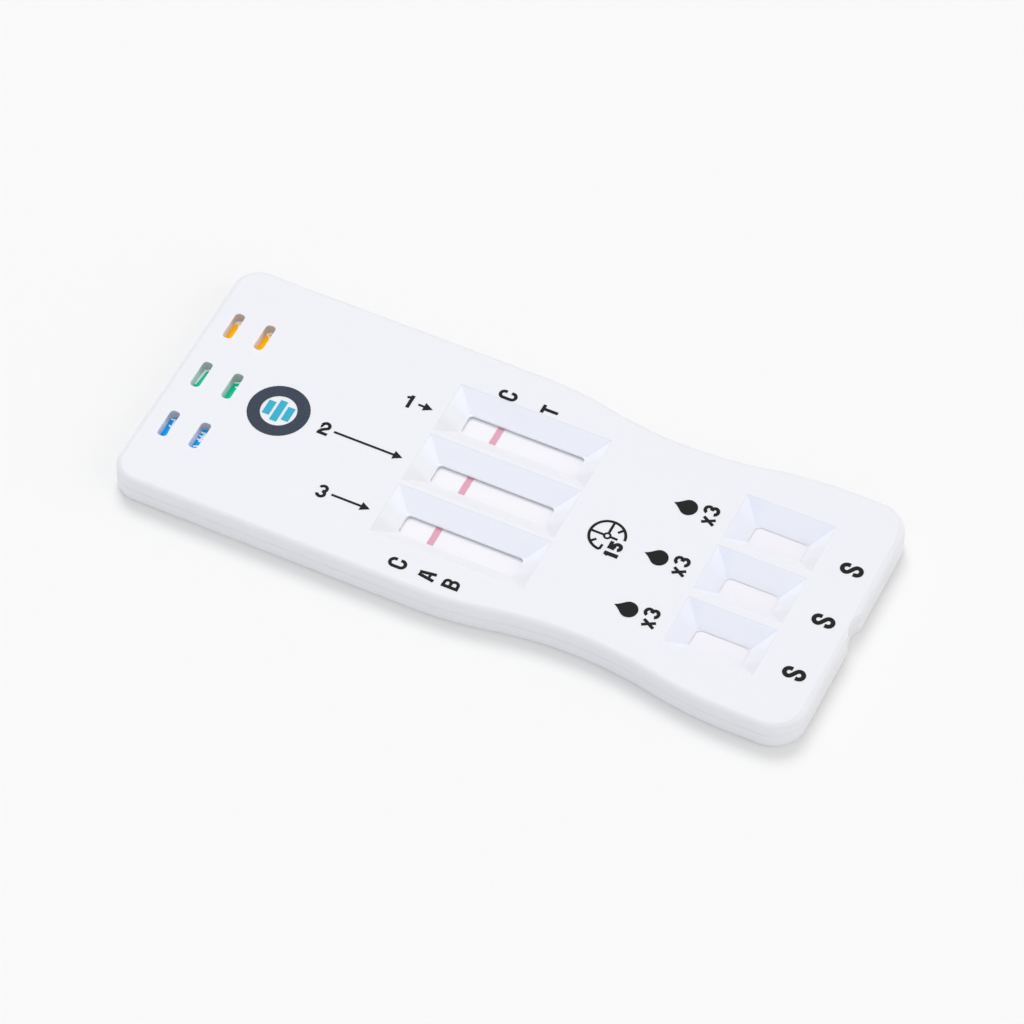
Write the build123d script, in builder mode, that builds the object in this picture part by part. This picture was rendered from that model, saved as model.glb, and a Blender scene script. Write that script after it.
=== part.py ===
from build123d import *

import os
from dataclasses import dataclass

os.makedirs("parts", exist_ok=True)

# A flat plastic cassette that holds three test strips side by side.
# X runs along the length, from the handle end to the sample end. Y runs across, to the back.
# Z is up, and the underside lies on Z = 0. All sizes are in millimetres.

# Casing
length = 87.0
width = 35.2
thickness = 3.8
handle_corner_radius = 3.2
sample_corner_radius = 4.1
top_edge_radius = 0.75
bottom_edge_break = 0.25
shell_wall = 1.2
top_plate = 1.0
floor_plate = 0.75
parting_height = 2.0
parting_break = 0.04

# Waist that both long sides draw in to
waist_from_end = 28.0
waist_length = 40.0
waist_depth = 2.1

# Thumb notch in the sample end
notch_radius = 3.6
notch_depth = 0.6

# Strips
lane_spacing = 8.2
strip_width = 4.0
handle_end_gap = 0.3
sample_end_room = 3.9
rest_bar_height = 0.35
card_thickness = 0.2
membrane_thickness = 0.15
conjugate_thickness = 0.25
sample_thickness = 0.2
absorbent_thickness = 1.0
tape_thickness = 0.06
pad_overlap = 2.0
pad_ramp = 0.5
membrane_before_window = 6.0
membrane_after_window = 4.0
sample_pad_before_well = 6.5
tape_before_membrane = 1.5

# Reading windows
window_from_end = 45.85
window_length = 15.0
window_width = 3.0
window_corner = 0.6
window_lip = 0.45
window_gap = 0.05

# Sample wells
well_from_end = 13.1
well_length = 6.6
well_width = 2.5
well_corner = 0.7
well_lip = 0.05
well_gap = 0.05

# Bevelled mouths of both
mouth_bevel = 2.3
mouth_wall = 0.6
mouth_edge_radius = 0.2

# Slots that show the coloured tapes
slot_from_end = 3.2
slot_spacing = 4.1
slot_length = 4.0
slot_width = 1.25
slot_corner = 0.5
slot_collar = 0.65

# Track for each strip in the lower shell
track_clearance = 0.15
rail_thickness = 0.5
rail_above_card = 0.2
rest_bar_width = 0.8
rest_bar_spacing = 8.0
end_stop_thickness = 0.6

# Bars of the upper shell that hold the pads down
press_bar_width = 0.8
press_bar_inset = 0.3
press_gap = 0.05

# Hexagonal pins, pressed into round holes in hexagonal sockets, that hold the shells together
pin_radius = 0.7
pin_clearance = 0.05
pin_tip_chamfer = 0.2
pin_tip_gap = 0.2
socket_wall = 0.55
socket_height = 1.4
pin_end_inset = 6.5
pin_wall_gap = 0.3
side_pin_before_window = 10.0
gap_pin_before_window = 14.0

# Levels that follow from the sizes above
ceiling = thickness - top_plate
mouth_wall_top = thickness - top_plate / 2
strip_base = floor_plate + rest_bar_height
card_top = strip_base + card_thickness
membrane_top = card_top + membrane_thickness
conjugate_top = card_top + conjugate_thickness
absorbent_top = card_top + absorbent_thickness
tape_top = absorbent_top + tape_thickness

# Places along the strips that follow from them
well_x = length / 2 - well_from_end
window_x = length / 2 - window_from_end
waist_x = length / 2 - waist_from_end
slot_x = -length / 2 + slot_from_end
strip_start = -length / 2 + shell_wall + handle_end_gap
strip_end = length / 2 - shell_wall - sample_end_room
membrane_start = window_x - window_length / 2 - membrane_before_window
membrane_end = window_x + window_length / 2 + membrane_after_window
sample_start = well_x - well_length / 2 - sample_pad_before_well
conjugate_start = membrane_end - pad_overlap
conjugate_end = sample_start + pad_overlap
absorbent_end = membrane_start + pad_overlap
tape_end = membrane_start - pad_ramp - tape_before_membrane

lanes = {"back": lane_spacing, "middle": 0.0, "front": -lane_spacing}


@dataclass
class Opening:
    """A bevelled opening in the top, with a straight lip that comes down close to the strip."""

    x: float
    length: float
    width: float
    corner: float
    gap: float
    lip: float
    strip_top: float

    @property
    def places(self):
        return [(self.x, y) for y in lanes.values()]

    @property
    def lip_base(self):
        return self.strip_top + self.gap

    @property
    def rim(self):
        return self.lip_base + self.lip

    def wall_block(self):
        """The wall round the opening, from the foot of its lip up into the top plate."""
        spread = mouth_wall + mouth_bevel * (mouth_wall_top - self.lip_base) / (thickness - self.rim)
        with BuildPart() as block:
            with BuildSketch(Plane.XY.offset(self.lip_base)):
                Rectangle(self.length + 2 * mouth_wall, self.width + 2 * mouth_wall)
            with BuildSketch(Plane.XY.offset(mouth_wall_top)):
                Rectangle(self.length + 2 * spread, self.width + 2 * spread)
            loft()
        return block.part

    def hollow(self):
        """The bevelled mouth, from the top of its lip to the top face, with its edge rounded over."""
        mouth_length = self.length + 2 * mouth_bevel
        mouth_width = self.width + 2 * mouth_bevel
        with BuildPart() as block:
            with BuildSketch(Plane.XY.offset(self.rim)):
                Rectangle(self.length, self.width)
            with BuildSketch(Plane.XY.offset(thickness)):
                Rectangle(mouth_length, mouth_width)
            loft()
            with BuildSketch(Plane.XY.offset(thickness)):
                Rectangle(mouth_length + 2 * mouth_edge_radius, mouth_width + 2 * mouth_edge_radius)
            extrude(amount=mouth_edge_radius)
            fillet(block.edges().filter_by(Edge.is_interior), mouth_edge_radius)
        return block.part


window = Opening(
    window_x,
    window_length,
    window_width,
    window_corner,
    window_gap,
    window_lip,
    membrane_top,
)
well = Opening(
    well_x,
    well_length,
    well_width,
    well_corner,
    well_gap,
    well_lip,
    card_top + sample_thickness,
)


def casing_plan(inset=0.0):
    """Plan of the casing: straight at the handle, drawn in to a waist by tangent arcs."""
    half = width / 2
    end = length / 2
    reach = waist_length / 2
    bend_y = half - waist_depth / 2
    with BuildSketch() as plan:
        with BuildLine():
            handle_side = Line((-end, half), (waist_x - reach, half))
            going_in = TangentArc(
                handle_side @ 1, (waist_x - reach / 2, bend_y), tangent=handle_side % 1
            )
            waist = TangentArc(going_in @ 1, (waist_x + reach / 2, bend_y), tangent=going_in % 1)
            going_out = TangentArc(waist @ 1, (waist_x + reach, half), tangent=waist % 1)
            Line(going_out @ 1, (end, half))
            mirror(about=Plane.XZ)
            Line((-end, -half), (-end, half))
            Line((end, -half), (end, half))
        make_face()
        fillet(plan.vertices().group_by(Axis.X)[0], handle_corner_radius)
        fillet(plan.vertices().group_by(Axis.X)[-1], sample_corner_radius)
        if inset:
            offset(amount=-inset, mode=Mode.REPLACE)
    return plan.sketch


outer_plan = casing_plan()
inner_plan = casing_plan(shell_wall)
notch_place = (length / 2 + notch_radius - notch_depth, 0)

# Pin places: along both long sides, and in the gaps between the strips
window_start = window_x - window_length / 2
socket_radius = pin_radius + pin_clearance
socket_outer_radius = socket_radius + socket_wall
pin_side_y = width / 2 - shell_wall - pin_wall_gap - socket_outer_radius
half_pin_places = [
    (-length / 2 + pin_end_inset, pin_side_y),
    (window_start - side_pin_before_window, pin_side_y),
    (length / 2 - pin_end_inset, pin_side_y),
    (window_start - gap_pin_before_window, lane_spacing / 2),
    (waist_x, lane_spacing / 2),
]
pin_places = half_pin_places + [(x, -y) for x, y in half_pin_places]

# Lower shell: a shallow tray with a track for each strip and a socket for each pin
track_half = strip_width / 2 + track_clearance
track_start = -length / 2 + shell_wall
track_end = strip_end + track_clearance
track_middle = (track_start + track_end) / 2
rest_bar_count = int((strip_end - strip_start) / rest_bar_spacing)

with BuildPart() as bottom_shell:
    with BuildSketch():
        add(outer_plan)
    extrude(amount=parting_height)
    chamfer(bottom_shell.faces().sort_by(Axis.Z)[0].edges(), bottom_edge_break)
    chamfer(bottom_shell.faces().sort_by(Axis.Z)[-1].edges(), parting_break)
    with BuildSketch(Plane.XY.offset(floor_plate)):
        add(inner_plan)
    extrude(amount=parting_height - floor_plate, mode=Mode.SUBTRACT)

    # Guide rails and end stop of each track
    with BuildSketch(Plane.XY.offset(floor_plate)):
        with Locations(*[(track_middle, y) for y in lanes.values()]):
            with GridLocations(0, 2 * track_half + rail_thickness, 1, 2):
                Rectangle(track_end - track_start, rail_thickness)
        with Locations(*[(track_end + end_stop_thickness / 2, y) for y in lanes.values()]):
            Rectangle(end_stop_thickness, 2 * (track_half + rail_thickness))
    extrude(amount=rest_bar_height + card_thickness + rail_above_card)

    # Low bars that the strips rest on
    with BuildSketch(Plane.XY.offset(floor_plate)):
        with Locations(((strip_start + strip_end) / 2, 0)):
            with GridLocations(rest_bar_spacing, lane_spacing, rest_bar_count, len(lanes)):
                Rectangle(rest_bar_width, 2 * track_half)
    extrude(amount=rest_bar_height)

    # Sockets
    with BuildSketch(Plane.XY.offset(floor_plate)):
        with Locations(*pin_places):
            RegularPolygon(socket_outer_radius, 6)
    extrude(amount=socket_height)
    with BuildSketch(Plane.XY.offset(floor_plate)):
        with Locations(*pin_places):
            Circle(socket_radius)
    extrude(amount=socket_height, mode=Mode.SUBTRACT)

    # Thumb notch
    with BuildSketch():
        with Locations(notch_place):
            Circle(notch_radius)
    extrude(amount=parting_height, mode=Mode.SUBTRACT)

bottom_shell.part.label = "bottom_shell"
export_step(bottom_shell.part, "parts/bottom_shell.step")

# Upper shell: a lid with bevelled windows and wells, tape slots, press bars and pins
lap_bars = [
    (membrane_start + pad_overlap / 2, membrane_top + absorbent_thickness),
    (sample_start + pad_overlap / 2, conjugate_top + sample_thickness),
]
openings = [window, well]
wall_blocks = [opening.wall_block() for opening in openings]
hollows = [opening.hollow() for opening in openings]

with BuildPart() as top_shell:
    with BuildSketch(Plane.XY.offset(parting_height)):
        add(outer_plan)
    extrude(amount=thickness - parting_height)
    fillet(top_shell.faces().sort_by(Axis.Z)[-1].edges(), top_edge_radius)
    chamfer(top_shell.faces().sort_by(Axis.Z)[0].edges(), parting_break)
    with BuildSketch(Plane.XY.offset(parting_height)):
        add(inner_plan)
    extrude(amount=ceiling - parting_height, mode=Mode.SUBTRACT)

    # Bevelled walls that reach down to the strips, then the mouths and lips through them
    for opening, wall_block in zip(openings, wall_blocks):
        with Locations(*opening.places):
            add(wall_block)
    for opening, hollow in zip(openings, hollows):
        with Locations(*opening.places):
            add(hollow, mode=Mode.SUBTRACT)
        with BuildSketch(Plane.XY.offset(opening.lip_base)):
            with Locations(*opening.places):
                RectangleRounded(opening.length, opening.width, opening.corner)
        extrude(amount=opening.lip, mode=Mode.SUBTRACT)

    # Collars round the tape slots, and the slots through them
    with BuildSketch(Plane.XY.offset(tape_top + press_gap)):
        with Locations(*[(slot_x + slot_spacing / 2, y) for y in lanes.values()]):
            Rectangle(slot_spacing + slot_width + 2 * slot_collar, slot_length + 2 * slot_collar)
    extrude(amount=ceiling - tape_top - press_gap)
    with BuildSketch(Plane.XY.offset(tape_top + press_gap)):
        with Locations((slot_x + slot_spacing / 2, 0)):
            with GridLocations(slot_spacing, lane_spacing, 2, len(lanes)):
                RectangleRounded(slot_width, slot_length, slot_corner)
    extrude(amount=thickness - tape_top - press_gap, mode=Mode.SUBTRACT)

    # Press bars over the places where one pad laps another
    for bar_x, lap_top in lap_bars:
        with BuildSketch(Plane.XY.offset(lap_top + press_gap)):
            with Locations(*[(bar_x, y) for y in lanes.values()]):
                Rectangle(press_bar_width, strip_width - 2 * press_bar_inset)
        extrude(amount=ceiling - lap_top - press_gap)

    # Pins
    with BuildSketch(Plane.XY.offset(floor_plate + pin_tip_gap)):
        with Locations(*pin_places):
            RegularPolygon(pin_radius, 6)
    extrude(amount=ceiling - floor_plate - pin_tip_gap)
    pin_tips = top_shell.faces().filter_by(Plane.XY).group_by(Axis.Z)[0]
    chamfer(pin_tips.edges(), pin_tip_chamfer)

    # Thumb notch
    with BuildSketch(Plane.XY.offset(parting_height)):
        with Locations(notch_place):
            Circle(notch_radius)
    extrude(amount=thickness - parting_height, mode=Mode.SUBTRACT)

top_shell.part.label = "top_shell"
export_step(top_shell.part, "parts/top_shell.step")


def flat_layer(name, start, end, base, layer_thickness, lane_y):
    """A card, film or membrane that lies flat on the strip."""
    with BuildPart() as layer:
        with BuildSketch(Plane.XY.offset(base)):
            with Locations(((start + end) / 2, lane_y)):
                Rectangle(end - start, strip_width)
        extrude(amount=layer_thickness)
    layer.part.label = name
    export_step(layer.part, f"parts/{name}.step")


def lapped_pad(name, lap_end, lap_edge, flat_end, lap_base, pad_thickness, lane_y):
    """A pad that lies on the card and rides up over the edge of the layer beside it."""
    ramp = pad_ramp if flat_end > lap_edge else -pad_ramp
    under = [(lap_end, lap_base), (lap_edge, lap_base), (lap_edge + ramp, card_top), (flat_end, card_top)]
    over = [(x, z + pad_thickness) for x, z in reversed(under)]
    with BuildPart() as pad:
        with BuildSketch(Plane.XZ.offset(-lane_y)):
            with BuildLine():
                Polyline(*under, *over, close=True)
            make_face()
        extrude(amount=strip_width / 2, both=True)
    pad.part.label = name
    export_step(pad.part, f"parts/{name}.step")


# Three like strips: a backing card with a membrane, three pads that lap each other, and a tape
for lane, y in lanes.items():
    strip = f"{lane}_strip"
    flat_layer(f"{strip}_backing_card", strip_start, strip_end, strip_base, card_thickness, y)
    flat_layer(f"{strip}_membrane", membrane_start, membrane_end, card_top, membrane_thickness, y)
    lapped_pad(
        f"{strip}_absorbent_pad",
        absorbent_end,
        membrane_start,
        strip_start,
        membrane_top,
        absorbent_thickness,
        y,
    )
    lapped_pad(
        f"{strip}_conjugate_pad",
        conjugate_start,
        membrane_end,
        conjugate_end,
        membrane_top,
        conjugate_thickness,
        y,
    )
    lapped_pad(
        f"{strip}_sample_pad",
        sample_start,
        conjugate_end,
        strip_end,
        conjugate_top,
        sample_thickness,
        y,
    )
    flat_layer(f"{strip}_handle_tape", strip_start, tape_end, absorbent_top, tape_thickness, y)
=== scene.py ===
import math

import bpy
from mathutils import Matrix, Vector


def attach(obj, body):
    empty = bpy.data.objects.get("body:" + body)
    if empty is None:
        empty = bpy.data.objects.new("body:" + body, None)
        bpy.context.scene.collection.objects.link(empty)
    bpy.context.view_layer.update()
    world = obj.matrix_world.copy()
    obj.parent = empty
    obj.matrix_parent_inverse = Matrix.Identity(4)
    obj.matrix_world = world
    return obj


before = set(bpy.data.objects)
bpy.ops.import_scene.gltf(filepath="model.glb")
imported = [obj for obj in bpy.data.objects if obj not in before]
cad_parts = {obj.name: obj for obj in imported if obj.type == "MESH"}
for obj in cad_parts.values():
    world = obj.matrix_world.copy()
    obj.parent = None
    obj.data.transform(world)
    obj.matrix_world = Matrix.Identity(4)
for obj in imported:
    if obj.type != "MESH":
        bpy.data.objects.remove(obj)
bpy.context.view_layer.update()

# Lower shell: a shallow white tray of injection-moulded polystyrene. It has a track for each
# strip, and sockets for the pins of the upper shell. The mould leaves a fine satin skin on it.
MM = 0.001
# A lighter white than the lid's, though both are the same plastic: painted light on the tray's lower
# walls.
TRAY_WHITE_PAINTED_LIGHTER = (0.825, 0.828, 0.86)
SHELL_ROUGHNESS = 0.42
SHELL_GLOW = 0.5
SHELL_GLOW_REACH = 0.35 * MM
SKIN_GRAIN = 0.09 * MM
SKIN_DEPTH = 0.0006 * MM


def new_surface_group(name, **lengths):
    """A shader node group with lengths as its inputs and a normal as its output, and its two ends."""
    group = bpy.data.node_groups.new(name, "ShaderNodeTree")
    for socket, length in lengths.items():
        made = group.interface.new_socket(socket, in_out="INPUT", socket_type="NodeSocketFloat")
        made.default_value = length
    group.interface.new_socket("Normal", in_out="OUTPUT", socket_type="NodeSocketVector")
    return group, group.nodes.new("NodeGroupInput"), group.nodes.new("NodeGroupOutput")


def new_node(tree, kind, links=(), **settings):
    """A node with its settings made, and its inputs set or linked by name or number."""
    node = tree.nodes.new(kind)
    for key, value in settings.items():
        setattr(node, key, value)
    for socket, source in links:
        if isinstance(source, bpy.types.NodeSocket):
            tree.links.new(source, node.inputs[socket])
        else:
            node.inputs[socket].default_value = source
    return node


def calc(tree, operation, *values):
    """The result of one sum in the tree, on numbers or sockets."""
    return new_node(tree, "ShaderNodeMath", enumerate(values), operation=operation).outputs[0]


def new_material(name, colour, roughness, specular=0.5):
    """A material with its plain values on the shader's own sockets."""
    material = bpy.data.materials.new(name)
    material.use_nodes = True
    shader = material.node_tree.nodes["Principled BSDF"]
    shader.inputs["Base Color"].default_value = (*colour, 1.0)
    shader.inputs["Roughness"].default_value = roughness
    shader.inputs["Specular IOR Level"].default_value = specular
    return material, material.node_tree, shader


def let_light_in(shader, weight, reach):
    """Lets light spread under the surface, as in a milky plastic or film."""
    shader.inputs["Subsurface Weight"].default_value = weight
    shader.inputs["Subsurface Radius"].default_value = (1.0, 1.0, 1.0)
    shader.inputs["Subsurface Scale"].default_value = reach


def use_group(tree, group, **values):
    """The group as a node of the tree, with its inputs set by name."""
    node = tree.nodes.new("ShaderNodeGroup")
    node.node_tree = group
    for socket, value in values.items():
        node.inputs[socket].default_value = value
    return node


def dress(name, material):
    """Gives a CAD node its finished material."""
    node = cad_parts[name]
    if not node.material_slots:
        node.data.materials.append(material)
    for holder in node.material_slots:
        holder.material = material


moulded_skin, skin_in, skin_out = new_surface_group(
    "moulded_skin", Grain=SKIN_GRAIN, Depth=SKIN_DEPTH
)
skin_place = new_node(moulded_skin, "ShaderNodeTexCoord")
skin_scale = calc(moulded_skin, "DIVIDE", 1.0, skin_in.outputs["Grain"])
skin_noise = new_node(
    moulded_skin,
    "ShaderNodeTexNoise",
    [("Vector", skin_place.outputs["Object"]), ("Scale", skin_scale), ("Detail", 2.0)],
)
skin_bump = new_node(
    moulded_skin,
    "ShaderNodeBump",
    [("Height", skin_noise.outputs["Fac"]), ("Distance", skin_in.outputs["Depth"])],
)
moulded_skin.links.new(skin_bump.outputs["Normal"], skin_out.inputs["Normal"])

tray_plastic, tray_tree, tray_shader = new_material("tray_plastic", TRAY_WHITE_PAINTED_LIGHTER, SHELL_ROUGHNESS)
let_light_in(tray_shader, SHELL_GLOW, SHELL_GLOW_REACH)
tray_skin = use_group(tray_tree, moulded_skin)
tray_tree.links.new(tray_skin.outputs["Normal"], tray_shader.inputs["Normal"])
dress("bottom_shell", tray_plastic)

# Backing cards: one stiff strip of white card to each test, with a tacky face that holds the
# layers. They lie on low bars in the tray, and only their long edges can be seen, inside.
LANES = ("back", "middle", "front")
CARD_WHITE = (0.9, 0.9, 0.89)
CARD_GRAIN = 0.2 * MM

card_stock, card_tree, card_shader = new_material("card_stock", CARD_WHITE, 0.5)
card_skin = use_group(card_tree, moulded_skin, Grain=CARD_GRAIN)
card_tree.links.new(card_skin.outputs["Normal"], card_shader.inputs["Normal"])
for lane in LANES:
    dress(f"{lane}_strip_backing_card", card_stock)

# Membranes: porous nitrocellulose films, bonded to the cards under the reading windows. The
# control line is a stripe of dye that has caught on the membrane, a little soft at its edges.
MEMBRANE_WHITE = (0.888, 0.882, 0.915)
LINE_PINK = (0.745, 0.37, 0.48)
LINE_PLACE = -5.8 * MM
LINE_WIDTH = 0.85 * MM
LINE_SOFTNESS = 0.16 * MM
LINE_WANDER = 0.14 * MM
WANDER_GRAIN = 0.5 * MM
FIBRE_TURNS = (0.3, 1.4, 2.5)
FIBRE_STRETCH = (0.14, 1.0, 1.0)


def fade(tree, value, low, high, full=1.0):
    """Rises softly from 0 to full as the value goes from low to high."""
    node = new_node(
        tree,
        "ShaderNodeMapRange",
        [("Value", value), ("From Min", low), ("From Max", high), ("To Max", full)],
        interpolation_type="SMOOTHSTEP",
    )
    return node.outputs["Result"]


def blend(tree, factor, first, second):
    """A colour between two, each a plain colour or a socket."""
    node = new_node(tree, "ShaderNodeMix", [("Factor", factor)], data_type="RGBA")
    for socket, colour in ((node.inputs[6], first), (node.inputs[7], second)):
        if isinstance(colour, bpy.types.NodeSocket):
            tree.links.new(colour, socket)
        else:
            socket.default_value = (*colour, 1.0)
    return node.outputs[2]


fibre_mat, fibre_in, fibre_out = new_surface_group("fibre_mat", Fibre=0.05 * MM, Depth=0.01 * MM)
fibre_place = new_node(fibre_mat, "ShaderNodeTexCoord")
fibre_scale = calc(fibre_mat, "DIVIDE", 1.0, fibre_in.outputs["Fibre"])
fibre_height = 0.0
for turn in FIBRE_TURNS:
    laid = new_node(
        fibre_mat,
        "ShaderNodeMapping",
        [
            ("Vector", fibre_place.outputs["Object"]),
            ("Rotation", (0.0, 0.0, turn)),
            ("Scale", FIBRE_STRETCH),
        ],
    )
    strands = new_node(
        fibre_mat,
        "ShaderNodeTexNoise",
        [
            ("Vector", laid.outputs["Vector"]),
            ("Scale", fibre_scale),
            ("Detail", 1.0),
            ("Distortion", 0.6),
        ],
    )
    fibre_height = calc(fibre_mat, "MAXIMUM", fibre_height, strands.outputs["Fac"])
fibre_bump = new_node(
    fibre_mat, "ShaderNodeBump", [("Height", fibre_height), ("Distance", fibre_in.outputs["Depth"])]
)
fibre_mat.links.new(fibre_bump.outputs["Normal"], fibre_out.inputs["Normal"])

membrane, membrane_tree, membrane_shader = new_material("membrane", MEMBRANE_WHITE, 0.75, 0.3)
membrane_pores = use_group(membrane_tree, fibre_mat, Depth=0.0008 * MM)
membrane_tree.links.new(membrane_pores.outputs["Normal"], membrane_shader.inputs["Normal"])
membrane_place = new_node(membrane_tree, "ShaderNodeTexCoord")
membrane_axes = new_node(
    membrane_tree, "ShaderNodeSeparateXYZ", [("Vector", membrane_place.outputs["Object"])]
)
line_wander = new_node(
    membrane_tree,
    "ShaderNodeTexNoise",
    [("Vector", membrane_place.outputs["Object"]), ("Scale", 1 / WANDER_GRAIN), ("Detail", 3.0)],
)
line_shift = calc(
    membrane_tree,
    "MULTIPLY_ADD",
    line_wander.outputs["Fac"],
    LINE_WANDER,
    membrane_axes.outputs["X"],
)
line_from_middle = calc(membrane_tree, "SUBTRACT", line_shift, LINE_PLACE + LINE_WANDER / 2)
line_distance = calc(membrane_tree, "ABSOLUTE", line_from_middle)
line_dye = fade(
    membrane_tree,
    line_distance,
    (LINE_WIDTH + LINE_SOFTNESS) / 2,
    (LINE_WIDTH - LINE_SOFTNESS) / 2,
)
line_colour = blend(membrane_tree, line_dye, MEMBRANE_WHITE, LINE_PINK)
membrane_tree.links.new(line_colour, membrane_shader.inputs["Base Color"])
for lane in LANES:
    dress(f"{lane}_strip_membrane", membrane)

# Conjugate pads: glass-fibre pads, pink from the gold colloid that is dried into them. Each
# laps the end of its membrane, under a press bar of the upper shell.
CONJUGATE_PINK = (0.72, 0.34, 0.4)

conjugate, conjugate_tree, conjugate_shader = new_material("conjugate", CONJUGATE_PINK, 0.8, 0.2)
conjugate_fibres = use_group(conjugate_tree, fibre_mat)
conjugate_tree.links.new(conjugate_fibres.outputs["Normal"], conjugate_shader.inputs["Normal"])
for lane in LANES:
    dress(f"{lane}_strip_conjugate_pad", conjugate)

# Sample pads: soft mats of pressed white fibre that take up the drops, seen in the wells.
# Each lies on its card and rides up over the end of the conjugate pad.
SAMPLE_WHITE = (0.868, 0.851, 0.89)

sample_mat, sample_tree, sample_shader = new_material("sample_mat", SAMPLE_WHITE, 0.85, 0.2)
sample_fibres = use_group(sample_tree, fibre_mat, Fibre=0.06 * MM, Depth=0.012 * MM)
sample_tree.links.new(sample_fibres.outputs["Normal"], sample_shader.inputs["Normal"])
for lane in LANES:
    dress(f"{lane}_strip_sample_pad", sample_mat)

# Absorbent pads: thick blotting card of cotton fibre that draws the liquid along the strip.
# Each laps the other end of its membrane, and the coloured tape is stuck on top of it.
BLOTTER_WHITE = (0.9, 0.9, 0.87)

blotter, blotter_tree, blotter_shader = new_material("blotter", BLOTTER_WHITE, 0.85, 0.2)
blotter_fibres = use_group(blotter_tree, fibre_mat, Fibre=0.08 * MM, Depth=0.015 * MM)
blotter_tree.links.new(blotter_fibres.outputs["Normal"], blotter_shader.inputs["Normal"])
for lane in LANES:
    dress(f"{lane}_strip_absorbent_pad", blotter)

# Handle tapes: thin film in a bright fluorescent colour, stuck over the absorbent pads, one colour
# to each lane, seen through the six slots. White bars and hooks are printed on the film.
# The tapes' glow is painted light, which lifts them in their shaded slots.
TAPE_COLOURS = {
    "back": (0.95, 0.46, 0.0),
    "middle": (0.0, 0.51, 0.275),
    "front": (0.0, 0.32, 0.775),
}
# Painted light: a glow on the tapes that brightens them in the shaded slots.
TAPE_PAINTED_GLOW = 0.32
TAPE_GRAIN = 0.3 * MM
TAPE_FACE = 2.36 * MM
TAPE_INK_WHITE = (0.93, 0.94, 0.95)
# Painted light: a glow on the white print that brightens it in the shaded slots.
TAPE_INK_PAINTED_GLOW = 0.2
INK_HEIGHT = 0.012 * MM
INK_SINK = 0.004 * MM
INK_STEP = 0.0003 * MM


def paint_glow(shader, colour, strength):
    """Paints a glow of the surface's own colour as painted light, though the piece is no lamp."""
    shader.inputs["Emission Color"].default_value = (*colour, 1.0)
    shader.inputs["Emission Strength"].default_value = strength


class Print:
    """Ink shapes on a level face, gathered into one mesh. Sizes are in millimetres."""

    def __init__(self, name, face):
        self.name = name
        self.face = face
        self.points = []
        self.faces = []
        self.shapes = 0

    def _level(self, outline, height):
        """Adds the outline at a height over the face. Each shape lies a step above the last one."""
        first = len(self.points)
        step = self.shapes * INK_STEP
        self.points += [(x * MM, y * MM, self.face + height + step) for x, y in outline]
        return list(range(first, first + len(outline)))

    def patch(self, outline):
        """A flat closed shape with thickness, from its outline, anticlockwise."""
        under = self._level(outline, -INK_SINK)
        over = self._level(outline, INK_HEIGHT)
        self.faces += [over, under[::-1]]
        for i in range(len(outline)):
            j = (i + 1) % len(outline)
            self.faces.append([under[i], under[j], over[j], over[i]])
        self.shapes += 1

    def stroke(self, path, width, closed=False):
        """A band of even width along a path, with square ends."""
        count = len(path)
        left, right = [], []
        for i, (x, y) in enumerate(path):
            before = path[i - 1] if i or closed else path[i]
            after = path[(i + 1) % count] if i < count - 1 or closed else path[i]
            back = Vector((x - before[0], y - before[1]))
            ahead = Vector((after[0] - x, after[1] - y))
            back = back.normalized() if back.length else ahead.normalized()
            ahead = ahead.normalized() if ahead.length else back
            along = (back + ahead).normalized()
            reach = width / 2 / max(along.dot(ahead), 0.4)
            left.append((x - along.y * reach, y + along.x * reach))
            right.append((x + along.y * reach, y - along.x * reach))
        rails = [
            self._level(side, height)
            for side in (left, right)
            for height in (INK_HEIGHT, -INK_SINK)
        ]
        left_over, left_under, right_over, right_under = rails
        for i in range(count if closed else count - 1):
            j = (i + 1) % count
            self.faces += [
                [right_over[i], right_over[j], left_over[j], left_over[i]],
                [left_under[i], left_under[j], right_under[j], right_under[i]],
                [left_over[i], left_over[j], left_under[j], left_under[i]],
                [right_under[i], right_under[j], right_over[j], right_over[i]],
            ]
        if not closed:
            self.faces += [
                [left_over[0], left_under[0], right_under[0], right_over[0]],
                [right_over[-1], right_under[-1], left_under[-1], left_over[-1]],
            ]
        self.shapes += 1

    def finish(self, material):
        """Makes the gathered shapes one piece, in the given ink."""
        mesh = bpy.data.meshes.new(self.name)
        mesh.from_pydata(self.points, [], self.faces)
        mesh.materials.append(material)
        piece = bpy.data.objects.new(self.name, mesh)
        bpy.context.scene.collection.objects.link(piece)
        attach(piece, "root")
        return piece


def arc(centre, across, up, start, end):
    """Points on an ellipse, from one angle in degrees to another."""
    steps = max(2, int(abs(end - start) / 9))
    angles = [math.radians(start + (end - start) * i / steps) for i in range(steps + 1)]
    return [(centre[0] + across * math.cos(a), centre[1] + up * math.sin(a)) for a in angles]


white_ink, white_tree, white_shader = new_material("white_ink", TAPE_INK_WHITE, 0.5, 0.2)
# Painted light: the white print glows.
paint_glow(white_shader, TAPE_INK_WHITE, TAPE_INK_PAINTED_GLOW)
white_skin = use_group(white_tree, moulded_skin)
white_tree.links.new(white_skin.outputs["Normal"], white_shader.inputs["Normal"])

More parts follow.
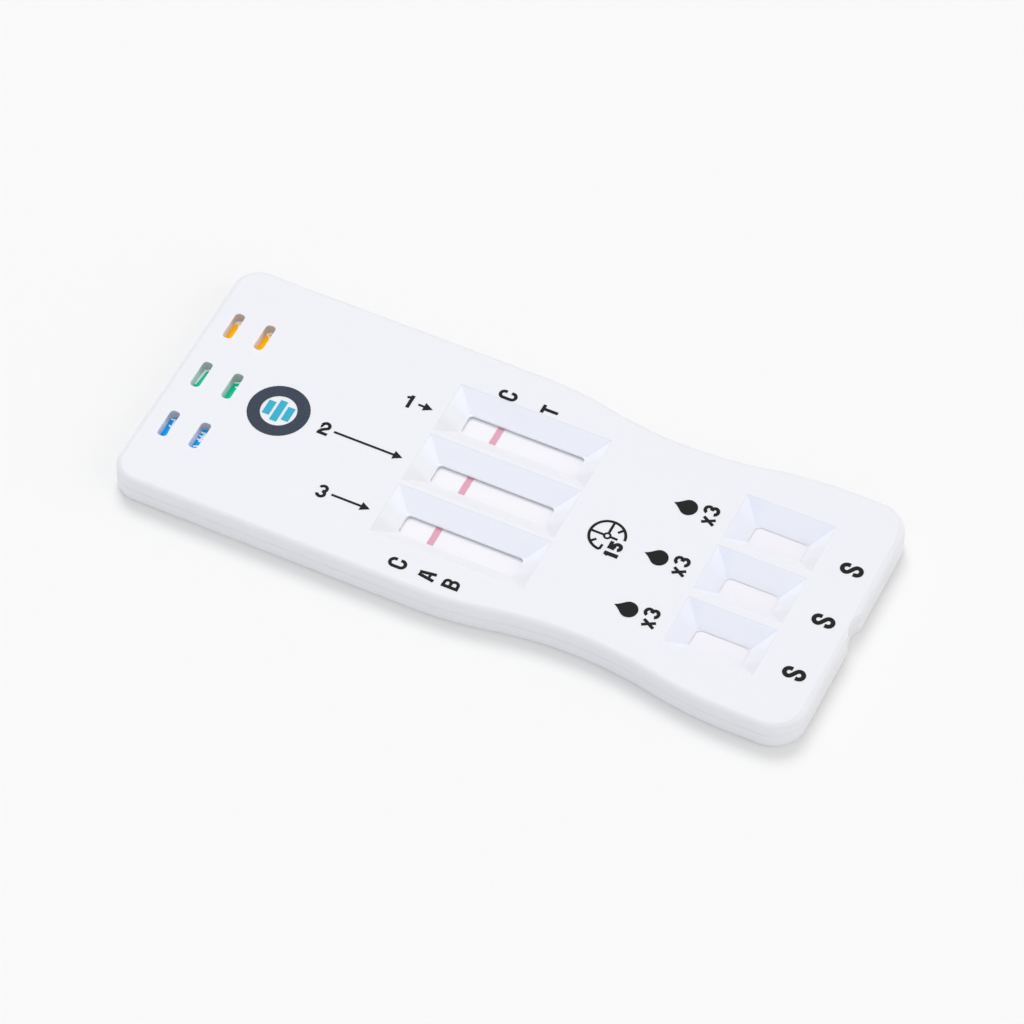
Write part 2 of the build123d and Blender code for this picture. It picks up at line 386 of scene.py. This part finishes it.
# Each mark is a path and the width of its band, in millimetres.
TAPE_MARKS = {
    "back": [
        (arc((-40.65, 9.4), 0.34, 0.34, -30, 200), 0.2),
        ([(-41.2, 9.85), (-40.2, 10.15)], 0.24),
        ([(-37.0, 10.1), (-36.0, 10.3)], 0.5),
        ([(-36.8, 9.82), (-36.45, 9.66), (-36.12, 9.3)], 0.22),
    ],
    "middle": [
        ([(-40.7, 1.8), (-40.95, -0.6)], 0.3),
        ([(-40.9, 1.65), (-40.2, 2.0)], 0.2),
        ([(-36.9, 1.55), (-36.0, 1.9)], 0.22),
        ([(-36.42, 1.0), (-35.9, 1.12)], 0.22),
    ],
    "front": [
        ([(-40.4, -6.4), (-40.25, -7.6), (-40.12, -8.9)], 0.3),
        ([(-41.0, -6.55), (-40.2, -6.4)], 0.2),
        ([(-40.75, -7.45), (-40.2, -7.6)], 0.2),
        ([(-36.28, -6.6), (-36.4, -8.15)], 0.26),
        ([(-36.95, -6.76), (-36.1, -6.74)], 0.24),
        ([(-36.9, -7.25), (-36.1, -7.33)], 0.2),
        ([(-36.88, -7.8), (-36.1, -7.92)], 0.22),
        ([(-36.75, -9.0), (-36.2, -8.75)], 0.2),
    ],
}

for lane, tape_colour in TAPE_COLOURS.items():
    tape, tape_tree, tape_shader = new_material(f"{lane}_tape_film", tape_colour, 0.4, 0.15)
    # Painted light: the tape glows in its own colour.
    paint_glow(tape_shader, tape_colour, TAPE_PAINTED_GLOW)
    tape_skin = use_group(tape_tree, moulded_skin, Grain=TAPE_GRAIN)
    tape_tree.links.new(tape_skin.outputs["Normal"], tape_shader.inputs["Normal"])
    dress(f"{lane}_strip_handle_tape", tape)
    tape_print = Print(f"{lane}_tape_print", TAPE_FACE)
    for path, band in TAPE_MARKS[lane]:
        tape_print.stroke(path, band)
    tape_print.finish(white_ink)

# Upper shell: the lid, of the same polystyrene, pressed down on the tray by its pins. Its windows
# and wells have polished bevels. The bevels carry painted light and shade, a tint to each side;
# the back sides and the wells' handle sides are painted cool, and the back sides get a painted glow.
TOP_FACE = 3.8 * MM
LANE_SPACING = 8.2 * MM
LID_WHITE = (0.776, 0.783, 0.824)
# A lighter white on the lid's rounded edges and walls under the top face: painted light.
EDGE_PAINTED_LIGHT = (0.813, 0.818, 0.856)
EDGE_DEPTH = 0.12 * MM
RECESS_MIDDLE_X = 12.0 * MM
RECESS_REACH_X = 26.0 * MM
RECESS_REACH_Y = 12.5 * MM
# The recess colours are painted light and shade: each side of the windows and wells has its own tint,
# mostly lighter than the top face, cool on the back sides and the wells' handle sides.
SIDE_PAINTED_LIGHT = (0.87, 0.877, 0.925)
FRONT_PAINTED_LIGHT = (0.828, 0.832, 0.864)
FRONT_FADE = (-0.6 * MM, -2.0 * MM)
BACK_PAINTED_COOL_LIGHT = (0.872, 0.885, 1.0)
# A faint cool glow on the back sides of the recesses: painted light.
BACK_PAINTED_GLOW = (0.03, 0.038, 0.046)
BACK_FADE = (0.0, 2.0 * MM)
WELL_PAINTED_COOL_LIGHT = (0.848, 0.86, 0.985)
WELL_MIDDLE_X = 25.0 * MM
WELL_REACH_X = 3.0 * MM
WELL_FADE = (27.6 * MM, 26.4 * MM)
# A grey at the foot of the windows' back lips: painted shade in the gap over the membrane.
LIP_PAINTED_SHADE = (0.38, 0.38, 0.4)
LIP_SHADE_FADE = (1.76 * MM, 1.6 * MM)
WINDOWS_END_X = 10.0 * MM
# A grey on the slot walls towards their far ends: painted shade.
SLOT_PAINTED_SHADE = (0.6, 0.6, 0.62)
SLOT_MIDDLE_X = -38.5 * MM
SLOT_REACH_X = 3.6 * MM
SLOT_SHADE_FADE = (0.2 * MM, 1.3 * MM)
BLACK = (0.0, 0.0, 0.0)

lid_plastic, lid_tree, lid_shader = new_material("lid_plastic", LID_WHITE, SHELL_ROUGHNESS)
let_light_in(lid_shader, SHELL_GLOW, SHELL_GLOW_REACH)
lid_skin = use_group(lid_tree, moulded_skin)
lid_tree.links.new(lid_skin.outputs["Normal"], lid_shader.inputs["Normal"])
lid_place = new_node(lid_tree, "ShaderNodeTexCoord")
lid_axes = new_node(lid_tree, "ShaderNodeSeparateXYZ", [("Vector", lid_place.outputs["Object"])])
lid_x, lid_y, lid_z = lid_axes.outputs

# Masks, from the place on the lid, that lay painted light and shade: within the windows and wells,
# their front and back sides, the foot of the windows' back lips and the far ends of the slots.
under_face = fade(lid_tree, lid_z, TOP_FACE, TOP_FACE - EDGE_DEPTH)
within_x = calc(lid_tree, "COMPARE", lid_x, RECESS_MIDDLE_X, RECESS_REACH_X)
within_y = calc(lid_tree, "COMPARE", lid_y, 0.0, RECESS_REACH_Y)
in_recess = calc(lid_tree, "MULTIPLY", calc(lid_tree, "MULTIPLY", under_face, within_x), within_y)
lane_place = calc(lid_tree, "WRAP", lid_y, -LANE_SPACING / 2, LANE_SPACING / 2)
front_side = fade(lid_tree, lane_place, *FRONT_FADE)
back_side = fade(lid_tree, lane_place, *BACK_FADE)
near_well = calc(lid_tree, "COMPARE", lid_x, WELL_MIDDLE_X, WELL_REACH_X)
well_side = fade(lid_tree, lid_x, *WELL_FADE, near_well)
by_windows = calc(lid_tree, "LESS_THAN", lid_x, WINDOWS_END_X)
# Painted shade along the foot of the windows' back lips.
lip_painted_shade = fade(lid_tree, lid_z, *LIP_SHADE_FADE, calc(lid_tree, "MULTIPLY", by_windows, back_side))
# Painted shade on the walls of the handle slots, darker towards their far ends.
by_slots = calc(lid_tree, "COMPARE", lid_x, SLOT_MIDDLE_X, SLOT_REACH_X)
slot_painted_shade = fade(lid_tree, lane_place, *SLOT_SHADE_FADE, calc(lid_tree, "MULTIPLY", by_slots, within_y))

# Painted light and shade in the windows and wells, one tint to each side, with the lips' painted shade
# over them.
recess_painted_light = SIDE_PAINTED_LIGHT
for side_mask, painted_side_light in (
    (front_side, FRONT_PAINTED_LIGHT),
    (back_side, BACK_PAINTED_COOL_LIGHT),
    (well_side, WELL_PAINTED_COOL_LIGHT),
    (lip_painted_shade, LIP_PAINTED_SHADE),
):
    recess_painted_light = blend(lid_tree, side_mask, recess_painted_light, painted_side_light)
# Painted light on the lid's outer edges and walls, with painted shade at the far ends of the slots.
edge_painted_light_and_shade = blend(lid_tree, slot_painted_shade, EDGE_PAINTED_LIGHT, SLOT_PAINTED_SHADE)
outside_tint = blend(lid_tree, under_face, LID_WHITE, edge_painted_light_and_shade)
lid_tint = blend(lid_tree, in_recess, outside_tint, recess_painted_light)
lid_tree.links.new(lid_tint, lid_shader.inputs["Base Color"])
# Painted light: a faint cool glow on the back sides of the windows and wells.
back_painted_glow = blend(lid_tree, calc(lid_tree, "MULTIPLY", in_recess, back_side), BLACK, BACK_PAINTED_GLOW)
lid_tree.links.new(back_painted_glow, lid_shader.inputs["Emission Color"])
lid_shader.inputs["Emission Strength"].default_value = 1.0
dress("top_shell", lid_plastic)

# Letters beside the windows and wells: black ink, pad-printed on the upper shell in a bold
# narrow face. C marks the control line, T, A and B the test lines, and S the sample wells.
INK_BLACK = (0.008, 0.008, 0.009)
INK_DEPTH = 0.001 * MM

ink, ink_tree, ink_shader = new_material("black_ink", INK_BLACK, 0.6, 0.12)
ink_skin = use_group(ink_tree, moulded_skin, Depth=INK_DEPTH)
ink_tree.links.new(ink_skin.outputs["Normal"], ink_shader.inputs["Normal"])


def bend(a, b, c, d, steps=12):
    """Points on a cubic curve with the control points a, b, c and d."""
    made = []
    for i in range(steps + 1):
        t = i / steps
        parts = ((1 - t) ** 3, 3 * t * (1 - t) ** 2, 3 * t * t * (1 - t), t**3)
        made.append(
            tuple(sum(part * point[k] for part, point in zip(parts, (a, b, c, d))) for k in (0, 1))
        )
    return made


def glyph(letter, width, height, weight):
    """The strokes of a letter about its centre: lists of (path, width), x right and y up."""
    w = (width - weight) / 2
    h = (height - weight) / 2
    round_up = h - w
    if letter == "C":
        path = [(w, round_up - 0.22 * h)] + arc((0, round_up), w, w, 0, 180)
        path += arc((0, -round_up), w, w, 180, 360) + [(w, -round_up + 0.22 * h)]
        return [(path, weight)]
    if letter == "S":
        top = h - w
        path = [(w, top - 0.22 * h)] + arc((0, top), w, w, 0, 180)
        path += bend((-w, top), (-w, top - 0.95 * w), (w, -top + 0.95 * w), (w, -top))
        path += arc((0, -top), w, w, 0, -180) + [(-w, -top + 0.22 * h)]
        return [(path, weight)]
    if letter == "T":
        return [([(-width / 2, h), (width / 2, h)], weight), ([(0, h), (0, -height / 2)], weight)]
    if letter == "A":
        foot = w
        tip = weight * 0.42
        legs = [([(side * foot, -height / 2), (side * tip, height / 2)], weight) for side in (-1, 1)]
        return legs + [([(-0.6 * foot, -0.42 * h), (0.6 * foot, -0.42 * h)], weight * 0.8)]
    if letter == "B":
        stem = ([(-w, -height / 2), (-w, height / 2)], weight)
        bowls = []
        for low, high, reach in ((0.06 * h, h, w * 0.92), (-h, 0.06 * h, w)):
            half = (high - low) / 2
            middle = (low + high) / 2
            path = [(-w, high)] + arc((reach - half, middle), half, half, 90, -90) + [(-w, low)]
            bowls.append((path, weight * 0.9))
        return [stem] + bowls
    if letter == "x":
        return [
            ([(-w * 0.95, side * height / 2), (w * 0.95, -side * height / 2)], weight)
            for side in (-1, 1)
        ]
    if letter == "1":
        stem = ([(w * 0.35, -height / 2), (w * 0.35, height / 2)], weight * 1.1)
        flag = ([(w * 0.35, h - 0.1 * h), (-w, h - 0.42 * h)], weight * 0.85)
        return [stem, flag]
    if letter == "2":
        path = [(-w, h - w * 0.95)] + arc((0, h - w), w, w, 180, -25)
        path += bend(path[-1], (w * 0.7, 0), (-w, -h * 0.35), (-w, -h))
        return [(path, weight), ([(-width / 2, -h), (width / 2, -h)], weight)]
    if letter == "3":
        top = (h + w * 0.1) / 2
        upper = arc((0, h - top * 0.98), w * 0.95, top * 0.98, 170, -90)
        lower = arc((0, -h + top), w, top, 90, -170)
        return [(upper, weight * 0.95), (lower, weight)]
    bowl = w * 1.02
    return [
        ([(-w * 0.8, h), (width / 2 * 0.92, h)], weight * 0.95),
        ([(-w * 0.8, height / 2), (-w * 0.92, 0.0)], weight * 0.9),
        (arc((0, -h + bowl), w, bowl, 145, -165), weight),
    ]


def letter_along_y(mark, letter, centre, width, height, weight):
    """Draws a letter that reads towards the back, with its top towards the handle end."""
    for path, band in glyph(letter, width, height, weight):
        mark.stroke([(centre[0] - up, centre[1] + right) for right, up in path], band)


WINDOW_LETTER_LINE = 0.42
SAMPLE_LETTER_LINE = 0.55
WINDOW_LETTERS = [
    ("C", (-6.44, 12.8), 1.36, 2.34),
    ("T", (-1.03, 12.82), 1.25, 2.1),
    ("C", (-7.06, -14.91), 1.42, 2.3),
    ("A", (-3.25, -15.0), 1.38, 2.0),
    ("B", (-0.21, -14.97), 1.34, 2.12),
]
SAMPLE_LETTER_PLACE = 40.08
SAMPLE_LETTER_ROWS = (6.8, -1.25, -9.45)

window_letters = Print("window_letters", TOP_FACE)
for letter, centre, letter_width, letter_height in WINDOW_LETTERS:
    letter_along_y(window_letters, letter, centre, letter_width, letter_height, WINDOW_LETTER_LINE)
window_letters.finish(ink)

sample_letters = Print("sample_letters", TOP_FACE)
for row in SAMPLE_LETTER_ROWS:
    letter_along_y(sample_letters, "S", (SAMPLE_LETTER_PLACE, row), 1.64, 2.84, SAMPLE_LETTER_LINE)
sample_letters.finish(ink)

# Drop signs before the wells: a black drop with x3 beside it, in the same black ink. They say
# how many drops of the sample go into each well.
DROP_ROWS = (6.9, -1.19, -9.39)
DROP_TIP = 17.67
DROP_END = 20.62
DROP_RADIUS = 1.13
COUNT_ROWS = (7.8, -0.35, -8.55)

drops = Print("drop_signs", TOP_FACE)
for row in DROP_ROWS:
    ball = DROP_END - DROP_RADIUS
    side = bend((ball, 1.0 * DROP_RADIUS), (ball - 0.7, 1.13), (DROP_TIP + 0.95, 0.42), (DROP_TIP, 0.0))
    edge = arc((ball, 0.0), DROP_RADIUS, DROP_RADIUS, -90, 90) + side[1:]
    edge += [(x, -y) for x, y in side[-2:0:-1]]
    drops.patch([(x, row + y) for x, y in edge])
drops.finish(ink)

drop_counts = Print("drop_counts", TOP_FACE)
for row in COUNT_ROWS:
    letter_along_y(drop_counts, "3", (22.13, row - 0.17), 1.39, 2.0, 0.44)
    letter_along_y(drop_counts, "x", (22.4, row - 1.7), 1.27, 1.48, 0.39)
drop_counts.finish(ink)

# Waiting-time sign between the windows and the wells: an open dial with two hands and the
# number of minutes in its gap, in the same black ink.
DIAL_HUB = (12.83, -0.89)
DIAL_RADIUS = 2.13
DIAL_LINE = 0.34
DIAL_HAND = 0.31
HUB_RADIUS = 0.37
HUB_LINE = 0.27

dial = Print("waiting_dial", TOP_FACE)
dial.stroke(arc(DIAL_HUB, DIAL_RADIUS, DIAL_RADIUS, 4, 269), DIAL_LINE)
dial.stroke(arc(DIAL_HUB, HUB_RADIUS, HUB_RADIUS, 0, 351), HUB_LINE, closed=True)
DIAL_LINES = [
    [(12.48, -0.89), (12.83 - DIAL_RADIUS, -0.89)],
    [(12.83, -0.54), (12.83, -0.89 + DIAL_RADIUS)],
    [(13.18, -0.9), (14.14, -0.93)],
    [(14.25, 0.6), (13.76, 0.01)],
    [(11.39, -2.35), (11.89, -1.81)],
    [(12.79, -3.03), (12.86, -2.25)],
]
for ends in DIAL_LINES:
    dial.stroke(ends, DIAL_HAND)
letter_along_y(dial, "1", (14.35, -3.25), 0.98, 1.74, 0.5)
letter_along_y(dial, "5", (14.38, -1.93), 1.28, 1.74, 0.48)
dial.finish(ink)

# Lane signs before the windows: a lane number and an arrow that points at the window, in the
# same black ink. They take the place of printed names of tests.
LANE_SIGNS = [
    ("1", -17.16, 7.0),
    ("2", -24.19, -0.95),
    ("3", -20.25, -9.34),
]
LANE_SIGN_END = -13.43
LANE_SIGN_HEIGHT = 1.95

lane_signs = Print("lane_signs", TOP_FACE)
for letter, start, row in LANE_SIGNS:
    for path, band in glyph(letter, 1.3, LANE_SIGN_HEIGHT, 0.4):
        lane_signs.stroke([(start + 0.65 + x, row + y) for x, y in path], band)
    lane_signs.stroke([(start + 1.85, row), (LANE_SIGN_END - 0.9, row)], 0.3)
    head = [(LANE_SIGN_END, 0.0), (LANE_SIGN_END - 1.15, 0.62), (LANE_SIGN_END - 1.15, -0.62)]
    lane_signs.patch([(x, row + y) for x, y in head])
lane_signs.finish(ink)

# Round badge near the handle end: a thick charcoal ring with three cyan bars, a plain sign for
# three tests in one. The two inks are printed one after the other.
BADGE_CENTRE = (-29.6, -0.95)
BADGE_RING = 2.98
BADGE_LINE = 1.55
BADGE_BARS = [(-1.25, 2.1), (0.0, 3.2), (1.25, 2.1)]
BADGE_BAR_WIDTH = 0.92
CHARCOAL_DARK = (0.004, 0.01, 0.022)
CHARCOAL_LIGHT = (0.06, 0.08, 0.125)
CHARCOAL_GRAIN = 0.12 * MM
CYAN = (0.02, 0.41, 0.6)

charcoal, charcoal_tree, charcoal_shader = new_material("charcoal_ink", CHARCOAL_LIGHT, 0.6, 0.2)
charcoal_place = new_node(charcoal_tree, "ShaderNodeTexCoord")
charcoal_noise = new_node(
    charcoal_tree,
    "ShaderNodeTexNoise",
    [("Vector", charcoal_place.outputs["Object"]), ("Scale", 1 / CHARCOAL_GRAIN), ("Detail", 1.0)],
)
charcoal_tint = blend(
    charcoal_tree, charcoal_noise.outputs["Fac"], CHARCOAL_DARK, CHARCOAL_LIGHT
)
charcoal_tree.links.new(charcoal_tint, charcoal_shader.inputs["Base Color"])
badge_ring = Print("badge_ring", TOP_FACE)
badge_ring.stroke(arc(BADGE_CENTRE, BADGE_RING, BADGE_RING, 0, 351), BADGE_LINE, closed=True)
badge_ring.finish(charcoal)

cyan, cyan_tree, cyan_shader = new_material("cyan_ink", CYAN, 0.5, 0.2)
cyan_skin = use_group(cyan_tree, moulded_skin)
cyan_tree.links.new(cyan_skin.outputs["Normal"], cyan_shader.inputs["Normal"])
badge_bars = Print("badge_bars", TOP_FACE)
for offset, bar in BADGE_BARS:
    x = BADGE_CENTRE[0] + offset
    badge_bars.stroke([(x, BADGE_CENTRE[1] - bar / 2), (x, BADGE_CENTRE[1] + bar / 2)], BADGE_BAR_WIDTH)
badge_bars.finish(cyan)

# Table: a plain matt white surface that the cassette lies on, a hair below it, so that the
# two never share a face. It isn't part of the cassette.
FLOOR_WHITE = (0.915, 0.915, 0.915)
FLOOR_SIZE = 3.0
FLOOR_GAP = 0.01 * MM

bpy.ops.mesh.primitive_plane_add(size=FLOOR_SIZE, location=(0.0, 0.0, -FLOOR_GAP))
floor = bpy.context.object
floor.name = "floor"
floor_paint, floor_tree, floor_shader = new_material("floor_paint", FLOOR_WHITE, 0.9, 0.1)
floor.data.materials.append(floor_paint)

# Light: even light from all round, with a soft lamp high up, a little behind and to the left,
# and weak ones at the right and in front. The camera sees plain white past the edge of the table.
ROOM_LIGHT = 0.68
BACKGROUND = 0.947
WHITE = (1.0, 1.0, 1.0)
WARM_WHITE = (1.0, 0.97, 0.86)
COOL_WHITE = (0.75, 0.83, 1.0)
LAMPS = {
    "high_lamp": {"place": (-0.24, 0.4, 0.75), "strength": 1.02, "spread": 28.0, "colour": WHITE},
    "side_lamp": {"place": (0.9, 0.0, 0.42), "strength": 0.42, "spread": 60.0, "colour": WARM_WHITE},
    "front_lamp": {"place": (0.15, -0.9, 0.5), "strength": 0.22, "spread": 70.0, "colour": COOL_WHITE},
}

for lamp_name, lamp_facts in LAMPS.items():
    lamp_light = bpy.data.lights.new(lamp_name, "SUN")
    lamp_light.energy = lamp_facts["strength"]
    lamp_light.angle = math.radians(lamp_facts["spread"])
    lamp_light.color = lamp_facts["colour"]
    lamp = bpy.data.objects.new(lamp_name, lamp_light)
    lamp.location = lamp_facts["place"]
    lamp.rotation_euler = lamp.location.to_track_quat("Z", "Y").to_euler()
    bpy.context.scene.collection.objects.link(lamp)

world = bpy.data.worlds.new("room")
bpy.context.scene.world = world
world.use_nodes = True
room = world.node_tree
room.nodes.clear()
room_light = new_node(
    room, "ShaderNodeBackground", [("Color", (1.0, 1.0, 1.0, 1.0)), ("Strength", ROOM_LIGHT)]
)
room_seen = new_node(
    room, "ShaderNodeBackground", [("Color", (1.0, 1.0, 1.0, 1.0)), ("Strength", BACKGROUND)]
)
room_rays = new_node(room, "ShaderNodeLightPath")
room_seen_or_glossy = calc(
    room, "MAXIMUM", room_rays.outputs["Is Camera Ray"], room_rays.outputs["Is Glossy Ray"]
)
room_seen_any = calc(
    room, "MAXIMUM", room_seen_or_glossy, room_rays.outputs["Is Transmission Ray"]
)
room_mix = new_node(
    room,
    "ShaderNodeMixShader",
    [
        (0, room_seen_any),
        (1, room_light.outputs["Background"]),
        (2, room_seen.outputs["Background"]),
    ],
)
room_out = new_node(room, "ShaderNodeOutputWorld", [("Surface", room_mix.outputs["Shader"])])
bpy.context.scene.view_settings.view_transform = "Standard"

# Camera: a long lens, well back from the cassette, above its front long side and a little to
# the right, as in the photograph.
VIEW_AZIMUTH = math.radians(25.82)
VIEW_ELEVATION = math.radians(52.21)
VIEW_DISTANCE = 610.4 * MM
VIEW_TARGET = Vector((1.48, -2.545, 3.8)) * MM
LENS = 186.3
SENSOR_WIDTH = 36.0
NEAREST_SEEN = 10.0 * MM

camera_lens = bpy.data.cameras.new("camera")
camera_lens.lens = LENS
camera_lens.sensor_width = SENSOR_WIDTH
camera_lens.clip_start = NEAREST_SEEN
camera = bpy.data.objects.new("camera", camera_lens)
away = Vector(
    (
        math.sin(VIEW_AZIMUTH) * math.cos(VIEW_ELEVATION),
        -math.cos(VIEW_AZIMUTH) * math.cos(VIEW_ELEVATION),
        math.sin(VIEW_ELEVATION),
    )
)
camera.location = VIEW_TARGET + away * VIEW_DISTANCE
camera.rotation_euler = away.to_track_quat("Z", "Y").to_euler()
bpy.context.scene.collection.objects.link(camera)
bpy.context.scene.camera = camera
